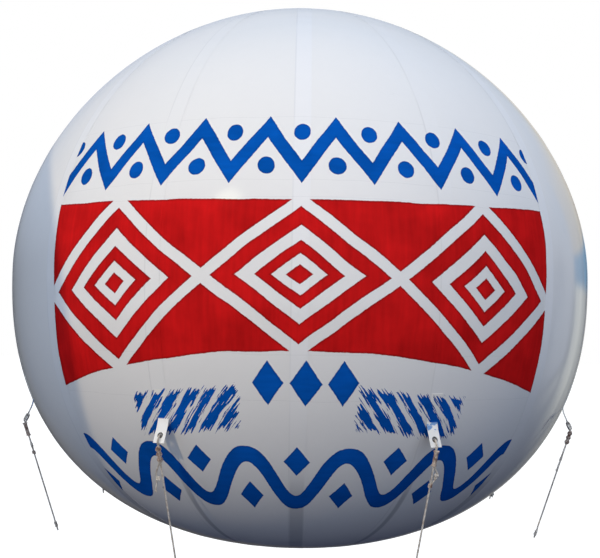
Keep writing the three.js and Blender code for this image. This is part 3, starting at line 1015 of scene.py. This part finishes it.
class BALLOON_OT_tabs(bpy.types.Operator):
    """Makes the tether tabs, film straps welded on the seams with their lower ends free"""

    bl_idname = "balloon.tabs"
    bl_label = "Tether tabs"

    HOLE_CLEARANCE = 0.0016
    HOLE_RINGS = 5
    # How far the free film stands off, in metres for each square metre beside its middle
    CURL = 1.2
    # Height of the ripples, where they begin, and their radians for each metre down and beside
    RIPPLE = 0.0004
    RIPPLES_BELOW = 0.02
    RIPPLE_DOWN = 190
    RIPPLE_BESIDE = 90

    def execute(self, context):
        tether = context.scene.balloon_tether
        strap = shown("tab", drawn("tab", self.sheet(TabLine(context.scene), tether)))
        wall = strap.modifiers.new("wall", "SOLIDIFY")
        wall.thickness = tether.tab_thickness
        wall.offset = 0
        round_off = strap.modifiers.new("edges", "BEVEL")
        round_off.width = 0.0005
        round_off.segments = 2
        piece = grow(
            "tether_tabs", settled(strap), ring_shape(), finish_named("tab film"),
            copies=TETHERS, first_turn=TETHER_STEP / 2)
        dress(piece, "white_pvc", *node_names("tether_tab", TETHERS))
        return {"FINISHED"}

    def sheet(self, line, tether):
        """The middle surface of one tab: a grid above and below a square with the round hole in it."""
        half = tether.tab_width / 2
        columns = 8
        across = [-half + 2 * half * column / columns for column in range(columns + 1)]
        hole = tether.eyelet_hole + self.HOLE_CLEARANCE
        hole_at = line.free - tether.eyelet_to_end
        mesh = bmesh.new()

        def spot(beside, below):
            return mesh.verts.new(self.on_tab(line, beside, below))

        for start, stop, rows in ((-tether.tab_weld, hole_at - half, 60), (hole_at + half, line.free, 3)):
            grid = [
                [spot(beside, start + (stop - start) * row / rows) for beside in across]
                for row in range(rows + 1)]
            for upper, lower in zip(grid, grid[1:]):
                for corners in zip(upper, lower, lower[1:], upper[1:]):
                    mesh.faces.new(corners)
        side = [(beside, -half) for beside in across[:-1]]
        square = []
        for _ in range(4):
            square += side
            side = [(-y, x) for x, y in side]
        rings = []
        for ring in range(self.HOLE_RINGS + 1):
            points = []
            for x, y in square:
                inward = hole / math.hypot(x, y)
                share = inward + (1 - inward) * ring / self.HOLE_RINGS
                points.append(spot(x * share, hole_at + y * share))
            rings.append(points)
        for inner, outer in zip(rings, rings[1:]):
            bridge(mesh, inner, outer)
        bmesh.ops.remove_doubles(mesh, verts=mesh.verts, dist=1e-6)
        bmesh.ops.recalc_face_normals(mesh, faces=mesh.faces)
        if sum(face.normal.y for face in mesh.faces) > 0:
            bmesh.ops.reverse_faces(mesh, faces=mesh.faces)
        return mesh

    def on_tab(self, line, beside, below):
        """A point of the tab, which lies on the round skin above its root and curls below it."""
        point, away = line.frame_at(below)
        if below <= 0:
            bulge = -beside * beside / (2 * line.sizes.widest_radius)
        else:
            bulge = beside * beside * self.CURL
        if below > self.RIPPLES_BELOW:
            wave = math.sin(below * self.RIPPLE_DOWN) * math.cos(beside * self.RIPPLE_BESIDE)
            bulge += self.RIPPLE * wave
        return in_space(point + away * bulge, beside)


class BALLOON_OT_eyelets(bpy.types.Operator):
    """Makes the rolled metal eyelets in the tabs"""

    bl_idname = "balloon.eyelets"
    bl_label = "Eyelets"

    BULGE = 0.0015
    BARREL = 0.0012
    ARC_STEPS = 8
    SIDES = 40

    def execute(self, context):
        line = TabLine(context.scene)
        profile = self.profile(context.scene.balloon_tether)
        axis = in_space(line.away)
        across = Vector((1, 0, 0))
        upward = axis.cross(across)
        centre = in_space(line.eyelet)
        mesh = bmesh.new()
        rings = []
        for turn in turns_of(self.SIDES):
            out = across * math.cos(turn) + upward * math.sin(turn)
            rings.append([mesh.verts.new(centre + out * radius + axis * side) for radius, side in profile])
        for first, second in zip(rings, [*rings[1:], rings[0]]):
            bridge(mesh, first, second)
        bmesh.ops.recalc_face_normals(mesh, faces=mesh.faces)
        piece = grow(
            "eyelets", drawn("eyelet", mesh), ring_shape(), finish_named("eyelet metal"),
            copies=TETHERS, first_turn=TETHER_STEP / 2)
        dress(piece, "eyelet_metal", *node_names("eyelet", TETHERS))
        return {"FINISHED"}

    def profile(self, tether):
        """The section as (radius, distance from the tab's middle): a roll on each side and the barrel."""
        seat = tether.tab_thickness / 2 + 0.0001
        middle = (tether.eyelet_hole + tether.eyelet_rim) / 2
        reach = tether.eyelet_rim - middle
        arc = [math.pi * step / self.ARC_STEPS for step in range(self.ARC_STEPS + 1)]
        roll = [(middle - math.cos(turn) * reach, seat + math.sin(turn) * self.BULGE) for turn in arc]
        barrel = tether.eyelet_hole + self.BARREL
        back = [(radius, -side) for radius, side in reversed(roll)]
        return [*roll, (barrel, seat), (barrel, -seat), *back]


def smoothed(points, steps=6):
    """A smooth open path through the points, by Catmull-Rom spans."""
    padded = [points[0] * 2 - points[1], *points, points[-1] * 2 - points[-2]]
    path = []
    for a, b, c, d in zip(padded, padded[1:], padded[2:], padded[3:]):
        for step in range(steps):
            t = step / steps
            path.append((b * 2 + (c - a) * t + (a * 2 - b * 5 + c * 4 - d) * t ** 2
                         + (b * 3 - a - c * 3 + d) * t ** 3) / 2)
    path.append(points[-1])
    return path


def overhand(centre, along, beside, size):
    """The path of an overhand knot: a trefoil that is opened at the tip of one lobe, its centre."""
    third = along.cross(beside)
    gap = math.radians(12)
    steps = 22
    points = []
    for k in range(steps + 1):
        t = gap + (FULL_TURN - 2 * gap) * k / steps
        x = (math.cos(t) + 2 * math.cos(2 * t)) * size - 3 * size
        y = (math.sin(t) - 2 * math.sin(2 * t)) * size
        z = math.sin(3 * t) * size * 0.9
        points.append(centre + beside * x + along * y + third * z)
    return points


class RopeLine(TabLine):
    """The paths of one tether rope, which hangs from the eyelet of a tab."""

    KNOT = 0.0042
    KNOT_OVER_END = 0.030
    LASHING = 0.072
    BELOW_TAB = 0.010
    LEG_APART = 0.0036
    COIL_STEPS = 14
    TAIL_END = (0.118, -0.041)
    BESIDE = Vector((1, 0, 0))

    def __init__(self, scene):
        super().__init__(scene)
        self.tether = scene.balloon_tether
        slope = Vector((-self.tether.rope_slope, -1)).normalized()
        top = self.end + self.down * self.BELOW_TAB
        foot = top + slope * self.LASHING
        self.top, self.foot, self.axis = in_space(top), in_space(foot), in_space(slope)
        self.depth = self.axis.cross(self.BESIDE)
        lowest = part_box("tether_rope_01")[0].z + self.KNOT_OVER_END
        self.line_end = (foot.y - lowest) / -slope.y

    def spot(self, below, sideways=0.0):
        """A point below the lashing's end, beside the line."""
        return self.foot + self.axis * below + self.BESIDE * sideways

    def loop(self):
        """The loop through the eyelet, with both its legs lying one behind the other in the lashing."""
        seat = self.tether.tab_thickness / 2 + 0.0016 + self.tether.rope * 0.62
        clear = self.tether.eyelet_to_end
        front = [(clear + 0.001, 0.8), (clear * 0.5, 1.0), (0.003, 0.75)]
        back = [(below, -away) for below, away in reversed(front)]
        around = [
            in_space(self.eyelet + self.down * below + self.away * (seat * away))
            for below, away in (*front, (-0.0005, 0.0), *back)]
        deep, shallow = (self.top + self.axis * below for below in (0.06, 0.012))
        apart = self.depth * self.LEG_APART
        return smoothed([deep + apart, shallow - apart, *around, shallow + apart, deep - apart])

    def main_line(self):
        """The line down from the lashing to the stopper knot and its short end."""
        shares = (0.2, 0.4, 0.6, 0.8, 0.93)
        knot = overhand(self.spot(self.line_end), -self.axis, self.BESIDE, self.KNOT)
        return smoothed([
            self.spot(-0.02), self.spot(0.02), *(self.spot(self.line_end * share) for share in shares),
            *knot[::-1], self.spot(self.line_end + 0.018), self.spot(self.line_end + 0.028)], 4)

    def knotted(self, before, knot_at, beside, size, after):
        """A short free strand with a knot in it. Places are steps below and sideways."""
        knot = overhand(self.spot(*knot_at), -self.axis, beside, self.KNOT * size)
        return smoothed([
            *(self.spot(*step) for step in before), *knot[::-1], *(self.spot(*step) for step in after)], 4)

    def tail(self):
        return self.knotted(
            ((-0.02, -0.004), (0.004, -0.007), (0.028, -0.019), (0.050, -0.027)),
            (0.074, -0.030), -self.BESIDE, 0.7, ((0.094, -0.033), self.TAIL_END))

    def side_strand(self):
        return self.knotted(
            ((-0.02, 0.004), (0.004, 0.006), (0.020, 0.015), (0.031, 0.023)),
            (0.044, 0.028), self.BESIDE, 0.75, ((0.058, 0.017), (0.076, 0.004), (0.092, -0.001)))

    def fray(self):
        """Loose fibres that spread from the tail's end."""
        fibres = 9
        end = self.spot(*self.TAIL_END)
        paths = []
        for k, turn in enumerate(turns_of(fibres)):
            away = self.BESIDE * math.cos(turn) + self.depth * math.sin(turn)
            away = away * (0.6 + 0.4 * (k % 2))
            paths.append(smoothed([
                end - self.axis * 0.004 + away * 0.0012, end + self.axis * 0.005 + away * 0.0030,
                end + self.axis * (0.012 + 0.002 * (k % 3)) + away * 0.0075], 3))
        return paths

    def coil(self, start, stop, turns, reach):
        """A cord wound on the line, with its radius given as a function of the share along it."""
        steps = turns * self.COIL_STEPS
        path = []
        for k in range(steps + 1):
            turn = FULL_TURN * k / self.COIL_STEPS
            round_it = self.BESIDE * math.cos(turn) + self.depth * math.sin(turn)
            path.append(self.spot(start + (stop - start) * k / steps) + round_it * reach(k / steps))
        return path

    def lumpy_lashing(self):
        """Three lumps of cord over the loop's legs."""
        def lumps(share):
            return 0.0060 + 0.0042 * math.sin(share * math.pi * 3) ** 2

        return self.coil(start=-0.068, stop=-0.002, turns=13, reach=lumps)

    def barrel_lashing(self):
        """An even lashing with a thick collar near each end."""
        def collared(share):
            upper = math.exp(-((share - 0.04) / 0.06) ** 2)
            lower = math.exp(-((share - 0.97) / 0.05) ** 2)
            return 0.0066 + 0.0036 * upper + 0.0024 * lower

        return self.coil(start=-0.068, stop=-0.002, turns=13, reach=collared)

    def hitch(self):
        """A short turn of cord that holds the side strand's end to the line."""
        return self.coil(start=0.076, stop=0.092, turns=3, reach=lambda share: 0.0066)


class BALLOON_OT_ropes(bpy.types.Operator):
    """Makes the tether ropes: loop, lashing, line and stopper knot, with a tail or a side strand"""

    bl_idname = "balloon.ropes"
    bl_label = "Tether ropes"

    def execute(self, context):
        tether = context.scene.balloon_tether
        rope = RopeLine(context.scene)
        shape = rope_shape()

        def twisted(name, paths, diameter, lay, first, finish="rope fibre"):
            return grow(
                name, curve_data(name, paths), shape, finish_named(finish), diameter=diameter,
                lay=lay, strands=tether.strands, copies=TETHERS // 2, first_turn=first)

        kinds = {
            "ropes_with_tail": (
                -TETHER_STEP / 2, rope.tail(), [rope.lumpy_lashing()], (8, 2, 4, 6)),
            "ropes_with_side_strand": (
                TETHER_STEP / 2, rope.side_strand(), [rope.barrel_lashing(), rope.hitch()], (1, 3, 5, 7)),
        }
        for name, (first, strand, cords, numbers) in kinds.items():
            paths = [rope.loop(), rope.main_line(), strand]
            piece = twisted(name, paths, tether.rope, tether.lay, first)
            dress(piece, "rope_fibre", *[f"tether_rope_{number:02d}" for number in numbers])
            extras = [twisted(f"{name}.lashing", cords, 0.0052, 0.016, first, "lashing cord")]
            if name == "ropes_with_tail":
                extras.append(twisted(f"{name}.fray", rope.fray(), 0.0022, 0.009, first))
            for extra in extras:
                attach(extra, BODY)
        return {"FINISHED"}


# Stage

def hung(light, turn, rise, distance):
    """Hangs a light in a direction, aimed at the origin and left out of mirrored rays."""
    lamp = shown(light.name, light)
    lamp.location = heading(turn, rise) * distance
    lamp.rotation_euler = lamp.location.to_track_quat("Z", "Y").to_euler()
    lamp.visible_glossy = False


class Sky(Nodes):
    """The colours of the sky and ground by direction. Longitudes are in degrees from the front."""

    def __init__(self, tree, stage):
        super().__init__(tree)
        self.stage = stage
        self.x, self.y, self.up = self.split(self.add("ShaderNodeTexCoord").outputs["Generated"])
        self.turn = abs(self.x.arctan2(-self.y))

    def past(self, low, high, turn=None):
        """The share of a step between two longitudes, the same on both sides."""
        return (turn or self.turn).ramp(math.radians(low), math.radians(high))

    def below(self, low, high):
        """The share of a step between two depths under the horizon."""
        return (-self.up).ramp(low, high)

    def layers(self, lowest, *steps):
        """Colours that follow each other upward, each with the heights between which it comes in."""
        made = lowest
        for low, high, shade in steps:
            made = self.mix(self.up.ramp(low, high), made, shade)
        return made

    def ahead(self):
        """The front half: pale sky, a dark right side, blue overhead, and the glow of the sun."""
        stage = self.stage
        right = self.past(30, 80) * self.x.ramp(-0.05, 0.05)
        ahead = self.mix(right, stage.horizon, stage.right_side)
        ahead = self.mix((self.up - right * 0.22).ramp(-0.20, -0.08), stage.ground, ahead)
        ahead = self.mix((self.up + right * 0.3).ramp(0.55, 0.80), ahead, stage.zenith)
        sun = heading(stage.sun_turn, stage.sun_rise)
        facing = self.x * sun.x + self.y * sun.y + self.up * sun.z
        return self.mix(facing.ramp(math.cos(stage.sun_glow), 1.0) ** 4.0, ahead, stage.sun)

    def wall(self):
        """Far behind on the right: a sunlit wall with a blue stripe and a pale top, under sky."""
        stage = self.stage
        wall = self.mix(self.up.ramp(-0.44, -0.14), stage.ground, stage.wall_warm)
        wall = self.mix(self.past(143.5, 147.5) * 0.55, wall, stage.ground)
        return self.layers(
            wall, (0.035, 0.065, stage.wall_blue), (0.11, 0.15, stage.wall_pale),
            (0.30, 0.45, stage.right_high))

    def back(self):
        """The back half, with a dark gap beside the wall and uneven dark patches low down."""
        stage = self.stage
        far_turn = self.turn + self.below(0.12, 0.36) * math.radians(12)
        near = self.layers(
            stage.ground, (-0.42, -0.18, stage.right_back), (0.12, 0.30, stage.right_high))
        right = self.mix(self.past(127, 131, far_turn), near, self.wall())
        gap = self.past(-3.5, -1, -abs(far_turn - math.radians(129))) * 0.4
        right = self.mix(gap * self.below(-0.10, 0.0), right, stage.left_back)
        left = self.layers(stage.left_back, (0.0, 0.36, stage.left_high))
        back = self.mix(self.x.ramp(-0.25, 0.25), left, right)
        uneven = self.noise(self.vector(self.x * 7, self.y * 7, self.up * 1.5), 1.0, 2.0)
        return self.mix(uneven.ramp(-0.06, 0.16) * self.below(-0.3, 0.0) * 0.5, back, stage.ground)

    def behind(self):
        """1 in the directions that the back half takes, between its top and its foot."""
        return self.past(102, 107) * self.up.ramp(-0.50, -0.40) * self.below(-0.90, -0.65)


class BALLOON_OT_stage(bpy.types.Operator):
    """Makes the camera, the lights, the pale floor and the sky"""

    bl_idname = "balloon.stage"
    bl_label = "Stage"

    def execute(self, context):
        stage = context.scene.balloon_stage
        camera = shown("camera", bpy.data.cameras.new("camera"))
        camera.data.sensor_width = 36
        camera.data.lens = stage.lens
        camera.data.clip_end = 200
        camera.location = heading(0.0, -stage.pitch) * stage.distance
        look = (-camera.location).to_track_quat("-Z", "Y").to_matrix().to_4x4()
        camera.matrix_world = Matrix.Translation(camera.location) @ look @ Matrix.Rotation(
            stage.roll, 4, "Z")
        context.scene.camera = camera
        self.spot(stage)
        self.keys(stage)
        self.floor(stage)
        self.sky(context.scene, stage)
        context.scene.view_settings.view_transform = "Standard"
        return {"FINISHED"}

    def spot(self, stage):
        """A warm spot from the front left, which leaves the left edge in shade."""
        spot = bpy.data.lights.new("warm spot", "SPOT")
        spot.spot_size = 2 * math.atan(stage.spot_reach / stage.spot_distance)
        spot.spot_blend = 0.1
        spot.shadow_soft_size = 0.03
        spot.color = stage.spot_colour[:3]
        spot.energy = stage.spot_power
        spot.use_nodes = True
        rays = Nodes(spot.node_tree)
        x, y, z = rays.split(rays.add("ShaderNodeTexCoord").outputs["Normal"])
        beside = x / z * -stage.spot_distance
        above = y / z * -stage.spot_distance
        edge = (above - stage.shade_foot).most(0.0) ** 2.0 * -stage.shade_bow + stage.shade_edge
        rays.fill(rays.tree.nodes["Emission"], {"Strength": (beside - edge).ramp(-0.025, 0.025)})
        hung(spot, stage.spot_turn, stage.spot_rise, stage.spot_distance)

    def keys(self, stage):
        """Two soft keys, one at the upper right and one in front, by longitude and elevation."""
        for turn, rise, power in ((42, 44, stage.high_key_power), (14, 20, stage.key_power)):
            key = bpy.data.lights.new("soft key", "AREA")
            key.shape = "DISK"
            key.size = stage.key_size
            key.color = stage.key_colour[:3]
            key.energy = power
            hung(key, math.radians(turn), math.radians(rise), stage.key_distance)

    def floor(self, stage):
        """A pale floor that the object doesn't mirror."""
        mesh = bmesh.new()
        bmesh.ops.create_grid(mesh, x_segments=8, y_segments=8, size=60)
        bmesh.ops.translate(mesh, verts=mesh.verts, vec=(0, 0, stage.floor))
        floor = shown("floor", drawn("floor", mesh))
        pale, shader = new_finish("pale floor")
        Nodes(pale.node_tree).fill(shader, {
            "Base Color": (0.30, 0.28, 0.26, 1), "Roughness": 0.9,
            "Emission Color": (1, 1, 1, 1), "Emission Strength": 1.0})
        floor.data.materials.append(pale)
        floor.visible_diffuse = False
        floor.visible_glossy = False

    def sky(self, scene, stage):
        """A plain white backdrop, which lights the object as a sky in zones over dark ground would."""
        scene.world = bpy.data.worlds.new("soft sky")
        scene.world.use_nodes = True
        zones = Sky(scene.world.node_tree, stage)
        light = zones.mix(zones.behind(), zones.ahead(), zones.back())
        seen = zones.add("ShaderNodeLightPath").outputs["Is Camera Ray"]
        zones.fill(zones.tree.nodes["Background"], {"Color": zones.mix(seen, light, (1.0, 1.0, 1.0, 1))})


class BALLOON_PT_panel(bpy.types.Panel):
    """Lists the settings and steps of the balloon"""

    bl_label = "Round tether balloon"
    bl_idname = "BALLOON_PT_panel"
    bl_space_type = "VIEW_3D"
    bl_region_type = "UI"
    bl_category = "Balloon"

    def draw(self, context):
        for group in SETTINGS:
            settings = getattr(context.scene, group)
            for key in settings.bl_rna.properties.keys():
                if key not in ("rna_type", "name"):
                    self.layout.prop(settings, key)
        for operator in OPERATORS:
            self.layout.operator(operator.bl_idname)


SETTINGS = {
    "balloon_envelope": EnvelopeSettings,
    "balloon_paint": PaintSettings,
    "balloon_tether": TetherSettings,
    "balloon_stage": StageSettings,
}
OPERATORS = (
    BALLOON_OT_stage,
    BALLOON_OT_gores,
    BALLOON_OT_seam_tapes,
    BALLOON_OT_patches,
    BALLOON_OT_neck,
    BALLOON_OT_tabs,
    BALLOON_OT_eyelets,
    BALLOON_OT_ropes,
)


def register():
    for settings in SETTINGS.values():
        bpy.utils.register_class(settings)
    for name, settings in SETTINGS.items():
        setattr(bpy.types.Scene, name, PointerProperty(type=settings))
    for operator in OPERATORS:
        bpy.utils.register_class(operator)
    bpy.utils.register_class(BALLOON_PT_panel)


def unregister():
    bpy.utils.unregister_class(BALLOON_PT_panel)
    for operator in reversed(OPERATORS):
        bpy.utils.unregister_class(operator)
    for name, settings in SETTINGS.items():
        delattr(bpy.types.Scene, name)
        bpy.utils.unregister_class(settings)


def main():
    register()
    for operator in OPERATORS:
        family, name = operator.bl_idname.split(".")
        getattr(getattr(bpy.ops, family), name)()


if __name__ == "__main__":
    main()
